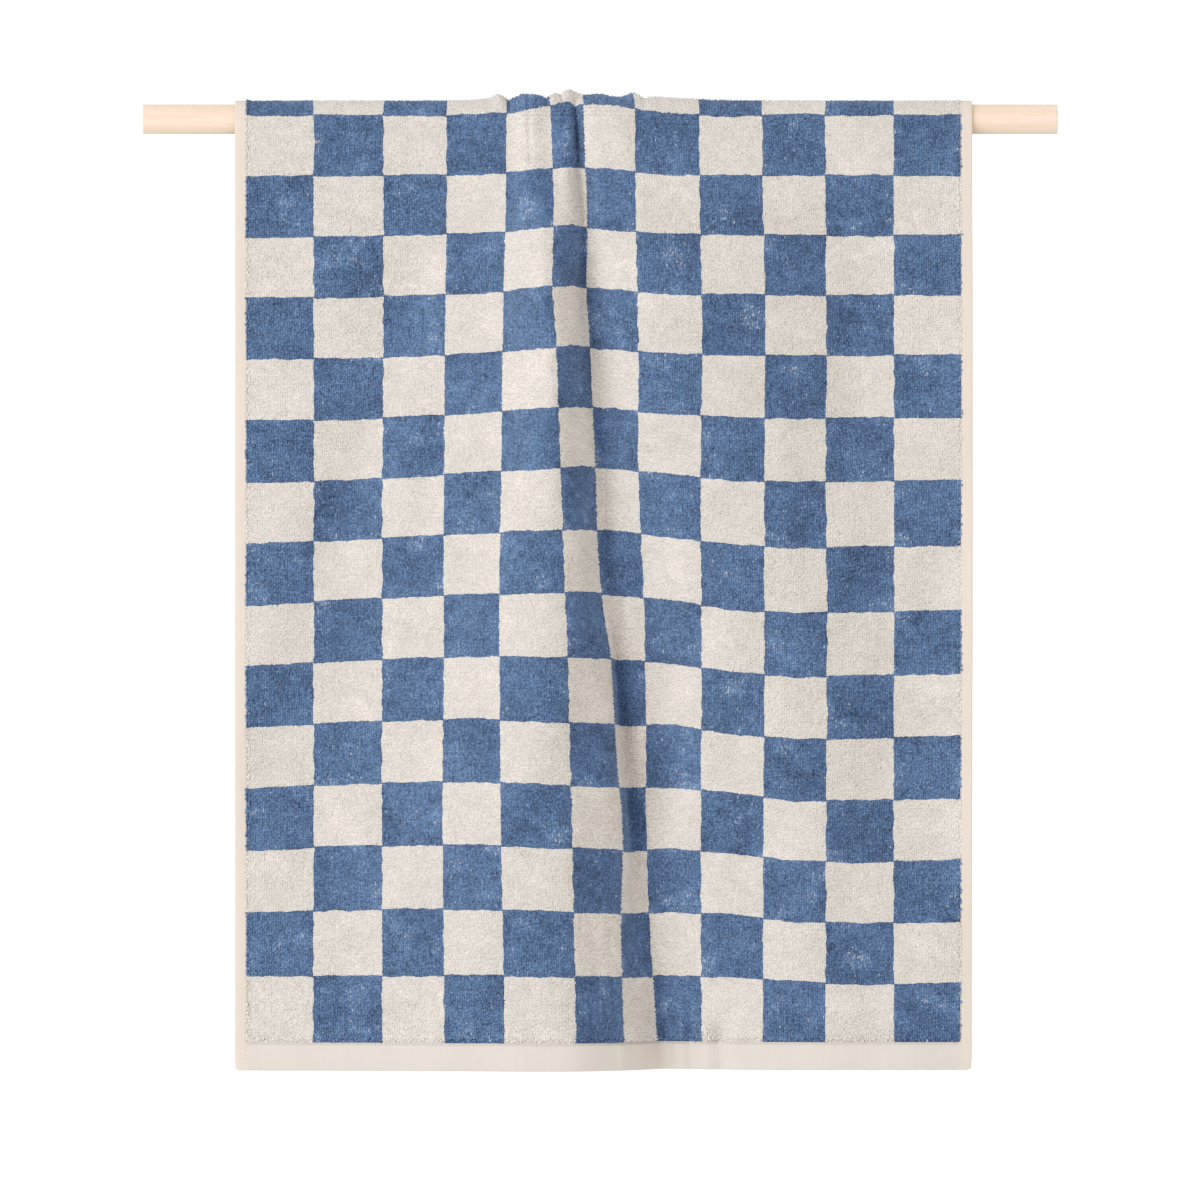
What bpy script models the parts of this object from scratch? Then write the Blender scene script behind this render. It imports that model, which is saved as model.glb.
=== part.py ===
# A hand towel of terry cloth, hung over a round wooden bar and gathered into one deep fold.
#
# Frame: origin at the centre of the bar's left end face, +X along the bar, +Z up.
# The long front drop hangs on the -Y side of the bar and the short back drop on the +Y side.
# A point of the cloth is named by two lengths measured on the flat cloth: "across", from its
# left edge, and "along", from the line that lies on top of the bar, positive down the front
# and negative down the back.

import math

import bpy
import numpy as np

# Driving dimensions, in metres
BAR_DIAMETER = 0.018
BAR_LENGTH = 0.555
BAR_SIDES = 32
BAR_EDGE_ROUNDING = 0.0005

TOWEL_WIDTH = 0.494
TOWEL_LENGTH = 1.006
SHOWN_WIDTH = 0.447
LEFT_EDGE_X = 0.056
FRONT_DROP = 0.577
SIDE_HEM = 0.007
END_HEM = 0.017
PILE_THICKNESS = 0.0024
HEM_THICKNESS = 0.0015
CORNER_DRAW_IN = 0.001
BAR_TO_CLOTH_GAP = 0.0004

WRAP_RADIUS = BAR_DIAMETER / 2 + BAR_TO_CLOTH_GAP + PILE_THICKNESS / 2
QUARTER_WRAP = WRAP_RADIUS * math.pi / 2
FRONT_END = FRONT_DROP + QUARTER_WRAP
BACK_END = FRONT_END - TOWEL_LENGTH

# Where the folds are measured: distance along the cloth from the top of the bar
STATIONS = {
    "hem": FRONT_END,
    "lower": 0.446,
    "middle": 0.286,
    "upper": 0.126,
    "under_bar": 0.045,
    "front_of_bar": QUARTER_WRAP,
    "crest": 0.0,
    "back_of_bar": -QUARTER_WRAP,
    "back_upper": -0.120,
    "back_hem": BACK_END,
}

# The ridges, creases and feet that run down the cloth, from left to right, in millimetres.
# at_crest, at_middle and at_hem are how far across the cloth a line runs at those heights,
# rounding is the half width of its bend, and the other columns are how far it stands out
# from the bar's own drop at each station.
FOLD_COLUMNS = (
    "line", "at_crest", "at_middle", "at_hem", "rounding",
    "hem", "lower", "middle", "upper", "under_bar", "front_of_bar",
    "crest", "back_of_bar", "back_upper", "back_hem",
)
FOLD_LINES = (
    ("left edge",      0,   0,   0,  6,   0,   0,   0,  0,  0,  0, 0, 0,  0,  0),
    ("left brow",     78,  42,  28, 10,   0,   0,   0,  1,  0,  0, 0, 0,  0,  0),
    ("left foot",    146,  66,  48, 10,   1,   0,  -3, -2,  0,  0, 0, 0,  0,  1),
    ("left rise",    162, 112,  96,  8,   8,   9,   7,  4,  2,  2, 3, 2,  3,  5),
    ("left crease",  170, 160, 148,  5,  17,  23,  23, 12,  4,  1, 1, 1,  4,  7),
    ("first arch",   181, 176, 170,  6,  21,  28,  31, 24, 13,  9, 5, 4,  7, 10),
    ("faint crease", 189, 191, 188,  6,  22,  30,  35, 32, 12,  8, 4, 3,  8, 12),
    ("ridge",        199, 204, 206,  8,  22,  29,  36, 41, 10,  7, 3, 4, 10, 14),
    ("tuck",         207, 217, 229,  6,  10,  17,  30, 37, 10,  6, 1, 3, 11, 16),
    ("flank",        221, 238, 244,  6,   6,  11,  14, 24, 14, 10, 4, 3, 12, 18),
    ("deep crease",  238, 264, 299,  4, -31, -31,  -9,  6,  1,  2, 5, 4, 14, 24),
    ("second arch",  256, 289, 316,  6, -21, -18,   4, 19, 12,  9, 2, 5, 13, 20),
    ("right arch",   278, 318, 338,  6, -15,  -9,  16, 24, 12,  8, 2, 3, 10, 14),
    ("right rise",   292, 340, 360,  6, -10,  -4,  20, 24,  9,  4, 3, 1,  7, 10),
    ("right brow",   340, 374, 410, 12,  -3,   4,  21, 22,  6,  2, 0, 0,  4,  7),
    ("right foot",   400, 440, 446, 12,  -6,  -3,   7,  8,  2,  0, 0, 0,  1,  2),
    ("right edge",   494, 494, 494,  6,  -8,  -4,   8, 10,  0,  0, 0, 0,  0,  0),
)
# How many strips of faces lie between one line and the next, with the two side hems
STRIPS = (
    ("left edge", 1), ("left seam", 3), ("left brow", 2), ("left foot", 3), ("left rise", 3),
    ("left crease", 2), ("first arch", 2), ("faint crease", 2), ("ridge", 2), ("tuck", 3),
    ("flank", 4), ("deep crease", 5), ("second arch", 4), ("right arch", 3), ("right rise", 4),
    ("right brow", 3), ("right foot", 3), ("right seam", 1),
)

# The cloth is squeezed sideways where it bunches on the bar: the middle of that stretch and
# its half width, in millimetres across the cloth
BUNCH_AT_CREST = 220
BUNCH_AT_HEM = 272
BUNCH_HALF_WIDTH = 50

# Slight unevenness of the drops: height, wavelength across, wavelength along, phase
RIPPLES = (
    (0.0009, 0.190, 0.310, 0.4),
    (0.0006, 0.083, 0.420, 2.1),
    (0.0004, 0.047, 0.150, 4.0),
)
RIPPLE_START = 0.030
RIPPLE_FULL = 0.160

# Rows of faces along the cloth
ROWS_ON_WRAP = 12
ROWS_ON_FRONT = 19
ROWS_ON_BACK = 11
FIRST_ROW_UNDER_BAR = 0.013

MM = 0.001
STEEPEST = 0.985
SAMPLES_ACROSS = 495

TOWEL_COLOUR = (0.36, 0.38, 0.46, 1.0)
TOWEL_ROUGHNESS = 0.95
BAR_COLOUR = (0.93, 0.77, 0.62, 1.0)
BAR_ROUGHNESS = 0.55


def clear_scene():
    for old in list(bpy.data.objects):
        bpy.data.objects.remove(old, do_unlink=True)


def make_material(name, colour, roughness):
    material = bpy.data.materials.new(name)
    material.use_nodes = True
    shader = material.node_tree.nodes["Principled BSDF"]
    shader.inputs["Base Color"].default_value = colour
    shader.inputs["Roughness"].default_value = roughness
    shader.inputs["Metallic"].default_value = 0.0
    return material


def add_object(name, points, faces, material):
    mesh = bpy.data.meshes.new(name)
    mesh.from_pydata([tuple(p) for p in points], [], faces)
    mesh.materials.append(material)
    mesh.update()
    thing = bpy.data.objects.new(name, mesh)
    bpy.context.scene.collection.objects.link(thing)
    return thing


def smooth_through(place, knots, values):
    """A curve through the values at rising knots that doesn't swing past them."""
    step = np.diff(knots)
    secant = np.diff(values) / step
    slope = np.concatenate([secant[:1], np.zeros(len(values) - 2), secant[-1:]])
    turning = secant[:-1] * secant[1:] <= 0
    both = np.where(turning, 1.0, secant[:-1] + secant[1:])
    slope[1:-1] = np.where(turning, 0.0, 2 * secant[:-1] * secant[1:] / both)
    i = int(np.clip(np.searchsorted(knots, place) - 1, 0, len(step) - 1))
    f = (place - knots[i]) / step[i]
    start = values[i] * (1 + 2 * f) * (1 - f) ** 2 + slope[i] * step[i] * f * (1 - f) ** 2
    end = values[i + 1] * f**2 * (3 - 2 * f) + slope[i + 1] * step[i] * f**2 * (f - 1)
    return start + end


def fold_lines_at(along):
    """Where each fold line runs across the cloth at one height, and how far it stands out."""
    stations = sorted(STATIONS, key=STATIONS.get)
    knots = np.array([STATIONS[name] for name in stations])
    share_down = abs(along) / FRONT_END
    across, height = [], []
    for row in FOLD_LINES:
        line = dict(zip(FOLD_COLUMNS, row))
        places = np.array([line["at_crest"], line["at_middle"], line["at_hem"]], float)
        heights = np.array([line[name] for name in stations], float)
        across.append(smooth_through(share_down, np.array([0.0, 0.5, 1.0]), places) * MM)
        height.append(smooth_through(along, knots, heights) * MM)
    return np.array(across), np.array(height)


def stand_out(across, along):
    """How far the cloth stands out at one height: straight panels with rounded bends."""
    line_across, line_height = fold_lines_at(along)
    steepness = np.diff(line_height) / np.diff(line_across)
    bend = np.diff(steepness)
    rounding = [row[FOLD_COLUMNS.index("rounding")] * MM for row in FOLD_LINES]
    height = line_height[0] + steepness[0] * across
    for place, turn, soft in zip(line_across[1:-1], bend, rounding[1:-1]):
        past = across - place
        height = height + turn * (past + np.hypot(past, soft)) / 2
    height = height - turn_at_left_edge(line_across, bend, rounding)
    fade = np.clip((abs(along) - RIPPLE_START) / (RIPPLE_FULL - RIPPLE_START), 0, 1)
    for size, wave_across, wave_along, phase in RIPPLES:
        turns = across / wave_across + along / wave_along
        height = height + fade * size * np.sin(2 * math.pi * turns + phase)
    return height


def turn_at_left_edge(line_across, bend, rounding):
    """What the rounded bends add at the left edge, so that it stays where the table puts it."""
    added = 0.0
    for place, turn, soft in zip(line_across[1:-1], bend, rounding[1:-1]):
        added += turn * (math.hypot(place, soft) - place) / 2
    return added


def running_total(rate, places):
    return np.concatenate([[0.0], np.cumsum((rate[1:] + rate[:-1]) / 2 * np.diff(places))])


def across_the_bar(across, along):
    """X of points of one row: the cloth keeps its width over its folds, and is bunched."""
    fine = np.linspace(0, TOWEL_WIDTH, SAMPLES_ACROSS)
    steep = np.clip(np.gradient(stand_out(fine, along), fine), -STEEPEST, STEEPEST)
    level = np.sqrt(1 - steep**2)
    share_down = abs(along) / FRONT_END
    centre = (BUNCH_AT_CREST + (BUNCH_AT_HEM - BUNCH_AT_CREST) * share_down) * MM
    bunch = level * np.exp(-(((fine - centre) / (BUNCH_HALF_WIDTH * MM)) ** 4))
    folded_width = running_total(level, fine)[-1]
    squeeze = (folded_width - SHOWN_WIDTH) / running_total(bunch, fine)[-1]
    shown = running_total(level - squeeze * bunch, fine)
    return LEFT_EDGE_X + np.interp(across, fine, shown)


def bare_drop(along):
    """Y and Z of the unfolded cloth's middle layer, and the direction that points outwards."""
    if along > QUARTER_WRAP:
        return -WRAP_RADIUS, QUARTER_WRAP - along, (-1.0, 0.0)
    if along < -QUARTER_WRAP:
        return WRAP_RADIUS, QUARTER_WRAP + along, (1.0, 0.0)
    angle = along / WRAP_RADIUS
    out = (-math.sin(angle), math.cos(angle))
    return WRAP_RADIUS * out[0], WRAP_RADIUS * out[1], out


def rows_along():
    """Distances of the rows of points from the top of the bar, from front hem to back hem."""
    front_top = QUARTER_WRAP + FIRST_ROW_UNDER_BAR
    front = np.linspace(FRONT_END - END_HEM, front_top, ROWS_ON_FRONT)
    wrap = np.linspace(QUARTER_WRAP, -QUARTER_WRAP, ROWS_ON_WRAP + 1)
    back = np.linspace(-front_top, BACK_END + END_HEM, ROWS_ON_BACK)
    return np.concatenate([[FRONT_END], front, wrap, back, [BACK_END]])


def columns_across(along):
    """Distances of one row's points from the left edge, following the fold lines."""
    names = [row[0] for row in FOLD_LINES]
    places = dict(zip(names, fold_lines_at(along)[0]))
    places["left seam"] = SIDE_HEM
    places["right seam"] = TOWEL_WIDTH - SIDE_HEM
    starts = [places[name] for name, _ in STRIPS] + [places["right edge"]]
    columns = [0.0]
    for (_, strips), start, end in zip(STRIPS, starts[:-1], starts[1:]):
        columns.extend(np.linspace(start, end, strips + 1)[1:])
    return np.array(columns)


def draw_in_corners(points, columns):
    """The four corners of the cloth are a little rounded."""
    last = len(points) - columns
    for corner, right, up in ((0, 1, 1), (columns - 1, -1, 1), (last, 1, 1), (-1, -1, 1)):
        points[corner] += (right * CORNER_DRAW_IN, 0, up * CORNER_DRAW_IN)


def build_towel():
    rows = rows_along()
    points = []
    pile = []
    for along in rows:
        across = columns_across(along)
        height = stand_out(across, along)
        y, z, out = bare_drop(along)
        x = across_the_bar(across, along)
        points.extend(np.stack([x, y + out[0] * height, z + out[1] * height], axis=1))
        in_end_hem = along > FRONT_END - END_HEM / 2 or along < BACK_END + END_HEM / 2
        in_side_hem = (across < SIDE_HEM / 2) | (across > TOWEL_WIDTH - SIDE_HEM / 2)
        pile.extend(~in_side_hem & (not in_end_hem))
    points = np.array(points)
    columns = len(across)
    draw_in_corners(points, columns)

    start = np.arange(len(rows) - 1)[:, None] * columns + np.arange(columns - 1)[None, :]
    start = start.ravel()
    faces = np.stack([start, start + 1, start + 1 + columns, start + columns], axis=1)
    material = make_material("terry_cloth", TOWEL_COLOUR, TOWEL_ROUGHNESS)
    towel = add_object("towel", points, faces.tolist(), material)

    thick = towel.vertex_groups.new(name="pile")
    thick.add([i for i, is_pile in enumerate(pile) if is_pile], 1.0, "REPLACE")
    body = towel.modifiers.new("cloth thickness", "SOLIDIFY")
    body.thickness = PILE_THICKNESS
    body.offset = 0.0
    body.use_even_offset = True
    body.vertex_group = thick.name
    body.thickness_vertex_group = HEM_THICKNESS / PILE_THICKNESS
    towel.data.shade_smooth()
    return towel


def build_bar():
    """A round dowel turned about its own length, with the sharp edge taken off each end."""
    radius = BAR_DIAMETER / 2
    inset = BAR_EDGE_ROUNDING
    profile = (
        (0.0, radius - inset),
        (inset, radius),
        (BAR_LENGTH - inset, radius),
        (BAR_LENGTH, radius - inset),
    )
    turns = [2 * math.pi * i / BAR_SIDES for i in range(BAR_SIDES)]
    points = [(x, r * math.sin(a), r * math.cos(a)) for x, r in profile for a in turns]
    faces = []
    for ring in range(len(profile) - 1):
        for side in range(BAR_SIDES):
            here = ring * BAR_SIDES + side
            beside = ring * BAR_SIDES + (side + 1) % BAR_SIDES
            faces.append((here, here + BAR_SIDES, beside + BAR_SIDES, beside))
    last_ring = (len(profile) - 1) * BAR_SIDES
    faces.append(tuple(range(BAR_SIDES)))
    faces.append(tuple(last_ring + side for side in reversed(range(BAR_SIDES))))
    material = make_material("pale_wood", BAR_COLOUR, BAR_ROUGHNESS)
    bar = add_object("bar", points, faces, material)
    bar.data.shade_smooth()
    bar.data.set_sharp_from_angle(angle=math.radians(30))
    return bar


clear_scene()
build_towel()
build_bar()
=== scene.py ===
# A checked terry hand towel over a round beech bar, dressed for the picture.
#
# Frame: origin at the centre of the bar's left end, +X along the bar, -Y to the camera, +Z up.
# A point of the cloth is named by two lengths on the flat cloth, in metres: "across", from the
# left edge, and "along", from the top of the bar, positive down the front, negative down the back.
# Every shape is a function of these two, worked out for a whole grid at once.

import math

import bpy
import numpy as np
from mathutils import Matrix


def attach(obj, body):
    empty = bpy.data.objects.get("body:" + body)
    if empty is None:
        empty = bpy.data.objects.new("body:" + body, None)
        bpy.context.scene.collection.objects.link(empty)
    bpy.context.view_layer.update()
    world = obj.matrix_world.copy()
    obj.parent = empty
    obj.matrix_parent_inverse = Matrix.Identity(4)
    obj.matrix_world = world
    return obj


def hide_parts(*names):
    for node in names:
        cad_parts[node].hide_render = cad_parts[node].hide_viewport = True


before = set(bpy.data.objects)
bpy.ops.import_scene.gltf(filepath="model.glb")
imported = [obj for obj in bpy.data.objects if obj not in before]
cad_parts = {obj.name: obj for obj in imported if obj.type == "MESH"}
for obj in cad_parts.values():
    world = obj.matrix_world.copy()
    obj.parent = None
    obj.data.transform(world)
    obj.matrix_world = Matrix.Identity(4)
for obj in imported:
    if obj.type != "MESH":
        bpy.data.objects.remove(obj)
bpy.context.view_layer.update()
print("frame loaded:", sorted(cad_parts))

mm = 0.001

# What each piece is made to; lengths in metres unless a line says otherwise
bar = {
    "diameter": 0.018,
    "length": 0.555,
    "sides": 96,
    "edgeRounding": 0.0005,
    "roundingRings": 5,
    "lengthRings": 12,
    "faceRings": (0.35, 0.7),  # shares of the radius at which a cut end has a ring of points
    "endFacing": 0.9,  # a face that looks along the bar by more than this shows end grain
}

cloth = {
    "width": 0.494,
    "length": 1.006,
    "shownWidth": 0.447,
    "leftEdgeX": 0.056,
    "frontDrop": 0.577,
    "sideHem": 0.007,
    "endHem": 0.017,
    "solidThickness": 0.0024,  # of the CAD solid, pile and all
    "gapToBar": 0.0004,
    "hemThickness": 0.0015,
    "groundLevel": 0.0002,  # of the woven ground that the loops stand on, from mid-thickness
    "bareReverseLevel": 0.0010,  # of the hidden reverse, where no loops are built
    "loopedReverseFrom": 0.385,  # along: from here down the reverse shows, and has loops
    "reverseBlend": 0.006,
    "seamBlend": 0.0009,
    "seamGroove": 0.00022,
    "grooveWidth": 0.0006,
    "cornerRadius": 0.0030,
    "columns": 127,  # of points, evenly between the side seams
    "rows": 228,  # of points, evenly between the end seams; on the bar its own rows replace them
    "barRows": 56,
    "clearOfBarRows": 0.001,
    "pointsAtEdge": (0.0, 0.00006, 0.0002, 0.00042, 0.00075),  # in from each edge
    "pointsAtSeam": (-0.0009, -0.0004, 0.0, 0.0004, 0.0009),  # to both sides of each seam
    "evenFromSeam": 0.0012,
    "fineColumns": 989,  # samples of the fold section
    "steepest": 0.985,  # rise for each step across the flat cloth
}
wrapRadius = bar["diameter"] / 2 + cloth["gapToBar"] + cloth["solidThickness"] / 2
quarterWrap = wrapRadius * math.pi / 2
frontEnd = cloth["frontDrop"] + quarterWrap
backEnd = frontEnd - cloth["length"]
frontSeam = frontEnd - cloth["endHem"]
backSeam = backEnd + cloth["endHem"]
rightSeam = cloth["width"] - cloth["sideHem"]
seamLines = (cloth["sideHem"], rightSeam, backSeam, frontSeam)

# Where the folds are measured: distance along the cloth from the top of the bar
stations = {
    "hem": frontEnd,
    "lower": 0.446,
    "middle": 0.286,
    "upper": 0.126,
    "underBar": 0.045,
    "frontOfBar": quarterWrap,
    "crest": 0.0,
    "backOfBar": -quarterWrap,
    "backUpper": -0.120,
    "backHem": backEnd,
}

# The ridges, creases and feet that run down the cloth, in millimetres: how far across the
# cloth a line runs at three heights, the half width of its bend, and how far it stands out
# from the bare drop at each station.
foldColumns = (
    "line", "atCrest", "atMiddle", "atHem", "rounding",
    "hem", "lower", "middle", "upper", "underBar", "frontOfBar",
    "crest", "backOfBar", "backUpper", "backHem",
)
foldLines = (
    ("left edge",      0,   0,   0,  6,   0,   0,   0,  0,  0,  0, 0, 0,  0,  0),
    ("left brow",     78,  42,  28, 10,   0,   0,   0,  1,  0,  0, 0, 0,  0,  0),
    ("left foot",    146,  66,  48, 10,   1,   0,  -3, -2,  0,  0, 0, 0,  0,  1),
    ("left rise",    162, 112,  96,  8,   8,   9,   7,  4,  2,  2, 3, 2,  3,  5),
    ("left crease",  170, 160, 148,  5,  17,  23,  23, 12,  4,  1, 1, 1,  4,  7),
    ("first arch",   181, 176, 170,  6,  21,  28,  31, 24, 13,  9, 5, 4,  7, 10),
    ("faint crease", 189, 191, 188,  6,  22,  30,  35, 32, 12,  8, 4, 3,  8, 12),
    ("ridge",        199, 204, 206,  8,  22,  29,  36, 41, 10,  7, 3, 4, 10, 14),
    ("tuck",         207, 217, 229,  6,  10,  17,  30, 37, 10,  6, 1, 3, 11, 16),
    ("flank",        221, 238, 244,  6,   6,  11,  14, 24, 14, 10, 4, 3, 12, 18),
    ("deep crease",  238, 264, 299,  4, -31, -31,  -9,  6,  1,  2, 5, 4, 14, 24),
    ("second arch",  256, 289, 316,  6, -21, -18,   4, 19, 12,  9, 2, 5, 13, 20),
    ("right arch",   278, 318, 338,  6, -15,  -9,  16, 24, 12,  8, 2, 3, 10, 14),
    ("right rise",   292, 340, 360,  6, -10,  -4,  20, 24,  9,  4, 3, 1,  7, 10),
    ("right brow",   340, 374, 410, 12,  -3,   4,  21, 22,  6,  2, 0, 0,  4,  7),
    ("right foot",   400, 440, 446, 12,  -6,  -3,   7,  8,  2,  0, 0, 0,  1,  2),
    ("right edge",   494, 494, 494,  6,  -8,  -4,   8, 10,  0,  0, 0, 0,  0,  0),
)

# Where the cloth is squeezed sideways on the bar, in millimetres across
bunch = {"atCrest": 220, "atHem": 272, "halfWidth": 50}

# Slight unevenness of the drops, as in the solid: height, wave across, wave along, phase
ripples = ((0.0009, 0.190, 0.310, 0.4), (0.0006, 0.083, 0.420, 2.1), (0.0004, 0.047, 0.150, 4.0))
rippleFade = {"start": 0.030, "full": 0.160}

# Small creases that the solid leaves out, in millimetres: a soft line from one point of the
# cloth to another, its half width, and its depth (negative) or height (positive).
creaseColumns = ("crease", "acrossFrom", "alongFrom", "acrossTo", "alongTo", "halfWidth", "rise")
smallCreases = (
    ("hem crease one",     320,  594, 319,  552,  4.2, -3.6),
    ("hem crease two",     341,  594, 340,  556,  4.0, -3.0),
    ("hem ridge one",      331,  594, 330,  556,  4.2,  1.8),
    ("hem ridge two",      352,  594, 351,  552,  5.0,  1.6),
    ("flank crease",       240,  594, 234,  430,  3.5, -1.2),
    ("flank hollow",       254,  570, 236,  190, 10.0, -4.4),
    ("arch crease",        184,    2, 184,   60,  2.6, -0.9),
    ("right soft fold",    372,  130, 392,  380,  9.0,  1.6),
    ("left soft fold",     112,  150,  92,  420,  9.0,  1.4),
    ("left shallow dent",   40,  210,  56,  330, 11.0, -0.8),
    ("right shallow dent", 450,  240, 440,  390, 11.0, -1.0),
    ("right edge curl",    500,  150, 500,  590, 22.0,  4.0),
    ("valley fill",        294,  580, 262,  170, 13.0,  7.0),
    ("back soft fold",     120,  -90, 132, -330,  9.0,  1.5),
    ("back low fold",      392, -120, 372, -390, 10.0,  1.5),
)

# Shares of a crease's length over which it fades in and out. The fade in has a head start, and
# a crease that begins within nearEnd of the front end, in metres, has its full depth there.
creaseFade = {"in": 0.3, "headStart": 0.15, "out": 0.45, "nearEnd": 0.002}

# Humps and tucks where the cloth bunches on the bar, also left out of the solid, in
# millimetres: the middle of each, its half sizes across and along, and its rise.
tuckColumns = ("tuck", "across", "along", "halfAcross", "halfAlong", "rise")
crestTucks = (
    ("left hump",           160, -1.0,  3.8, 10.0,  2.4),
    ("gap by left hump",    167,  1.0,  1.7,  9.0, -2.4),
    ("blue hump",           178, -2.0,  5.0,  8.0,  0.8),
    ("blue hump crease",    183,  6.0,  2.0, 14.0, -0.8),
    ("gap by blue hump",    203,  3.0,  1.8,  8.0, -2.0),
    ("rear hump",           214, -4.0,  5.0,  4.0,  3.4),
    ("pocket",              213,  1.8,  3.6,  1.4, -3.0),
    ("lobe under pocket",   212,  6.5,  4.0,  3.2,  1.6),
    ("tuck left of hump",   223,  4.0,  1.6,  7.0, -2.2),
    ("front hump",          233,  3.0,  8.0,  6.0,  2.2),
    ("hollow under hump",   239, 27.0,  3.4, 17.0, -3.4),
    ("ridge by the hollow", 230, 24.0,  4.0, 16.0,  1.6),
    ("ridge behind",        264, -4.0, 13.0,  2.6,  3.2),
    ("dark hollow",         264,  0.8,  9.5,  1.5, -4.0),
    ("lip of the hollow",   264,  5.4, 12.0,  2.6,  1.4),
    ("end hump",            288,  1.0,  4.0,  8.0,  2.2),
    ("tuck by end hump",    295,  3.0,  1.8,  9.0, -1.8),
)

# The checks: the column edges across the flat cloth in millimetres, and how far the rows ride
# above their even places, in millimetres, at ten places across and ten heights.
columnEdges = (7, 47.9, 90.2, 128.5, 165.2, 208.9, 249.2, 289.2, 328.3, 366.8, 404.9, 446.4, 487)
checkRows = 26
checkLength = (frontSeam - backSeam) / checkRows
seamShare = 0.06  # of a check: nearer to a seam than this, its colour doesn't change
rowHeights = (-0.060, 0.013, 0.088, 0.163, 0.238, 0.313, 0.388, 0.463, 0.539, 0.577)
rowRise = (
    (0,   (0, 1.2, 1.8,  3.1,  2.8,  2.4,  3.8,  3.9,  3.0, 0)),
    (68,  (0, 1.2, 2.4,  3.2,  4.2,  6.8,  7.2,  6.8,  2.7, 0)),
    (147, (0, 1.2, 4.3,  6.2,  8.9, 10.0,  9.4,  8.0,  3.6, 0)),
    (229, (2, 5.4, 9.2, 10.9, 12.4, 10.8,  6.3,  5.0,  2.6, 0)),
    (269, (2, 5.0, 6.4,  9.1, 11.6,  9.2,  5.2,  3.1,  1.8, 0)),
    (309, (1, 1.6, 3.4,  5.8,  7.9,  6.3,  5.5,  4.9,  2.3, 0)),
    (348, (0, 0.3, 3.4,  5.0,  3.9,  0.8,  0.2,  2.6,  2.1, 0)),
    (386, (0, 1.5, 2.8,  4.8,  3.0, -1.5, -3.1, -2.4, -0.6, 0)),
    (427, (0, 1.2, 3.0,  5.1,  3.7, -0.7, -2.4, -3.1, -2.6, 0)),
    (494, (0, 1.2, 3.2,  5.4,  4.2,  0.3, -0.9, -1.4, -1.2, 0)),
)


# Shape of the cloth

def smoothThrough(places, knots, values):
    # Cubic pieces through the values at rising knots. Each knot's slope is the harmonic mean
    # of the slopes beside it, or level where they turn, so the curve doesn't swing past them.
    step = np.diff(knots)
    secant = np.diff(values) / step
    turning = secant[:-1] * secant[1:] <= 0
    both = np.where(turning, 1.0, secant[:-1] + secant[1:])
    inner = np.where(turning, 0.0, 2 * secant[:-1] * secant[1:] / both)
    slope = np.concatenate([secant[:1], inner, secant[-1:]])
    i = np.clip(np.searchsorted(knots, places) - 1, 0, len(step) - 1)
    f = (places - knots[i]) / step[i]
    start = values[i] * (1 + 2 * f) * (1 - f) ** 2 + slope[i] * step[i] * f * (1 - f) ** 2
    end = values[i + 1] * f**2 * (3 - 2 * f) + slope[i + 1] * step[i] * f**2 * (f - 1)
    return start + end


def softStep(value):
    # 0 below 0, 1 above 1, and 3v^2 - 2v^3 between
    v = np.clip(value, 0, 1)
    return v * v * (3 - 2 * v)


def foldLinesAt(along):
    # For each row: where each fold line runs across, and how far it stands out (rows x lines)
    names = sorted(stations, key=stations.get)
    knots = np.array([stations[name] for name in names])
    shareDown = np.abs(along) / frontEnd
    across, height = [], []
    for row in foldLines:
        line = dict(zip(foldColumns, row))
        places = np.array([line["atCrest"], line["atMiddle"], line["atHem"]], float)
        heights = np.array([line[name] for name in names], float)
        across.append(smoothThrough(shareDown, np.array([0.0, 0.5, 1.0]), places) * mm)
        height.append(smoothThrough(along, knots, heights) * mm)
    return np.stack(across, axis=1), np.stack(height, axis=1)


def bend(past, soft):
    # A rounded turn: half the sum of the way past it and the hypotenuse of that and the softness
    return (past + np.hypot(past, soft)) / 2


def standOut(across, along):
    # Straight panels between the fold lines, each turn rounded, plus ripples (rows x columns)
    lineAcross, lineHeight = foldLinesAt(along)
    steepness = np.diff(lineHeight, axis=1) / np.diff(lineAcross, axis=1)
    turn = np.diff(steepness, axis=1)
    height = lineHeight[:, :1] + steepness[:, :1] * across[None, :]
    for i, row in enumerate(foldLines[1:-1]):
        soft = row[foldColumns.index("rounding")] * mm
        place = lineAcross[:, i + 1, None]
        atLeftEdge = bend(-place, soft)
        height = height + turn[:, i, None] * (bend(across[None, :] - place, soft) - atLeftEdge)
    fade = (np.abs(along) - rippleFade["start"]) / (rippleFade["full"] - rippleFade["start"])
    fade = np.clip(fade, 0, 1)[:, None]
    for size, waveAcross, waveAlong, phase in ripples:
        turns = across[None, :] / waveAcross + along[:, None] / waveAlong
        height = height + fade * size * np.sin(2 * math.pi * turns + phase)
    return height


def creaseRise(across, along):
    # Each small crease is a bell across its line, faded in and out along its length
    total = np.zeros((len(along), len(across)))
    for row in smallCreases:
        crease = dict(zip(creaseColumns, row))
        run = (crease["alongTo"] - crease["alongFrom"]) * mm
        share = (along[:, None] - crease["alongFrom"] * mm) / run
        lean = (crease["acrossTo"] - crease["acrossFrom"]) * mm
        line = crease["acrossFrom"] * mm + lean * share
        bell = np.exp(-(((across[None, :] - line) / (crease["halfWidth"] * mm)) ** 2))
        atEnd = abs(crease["alongFrom"] * mm - frontEnd) < creaseFade["nearEnd"]
        fadeIn = 1.0 if atEnd else softStep(share / creaseFade["in"] + creaseFade["headStart"])
        fadeOut = softStep((1 - share) / creaseFade["out"])
        total += crease["rise"] * mm * bell * fadeIn * fadeOut
    return total


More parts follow.
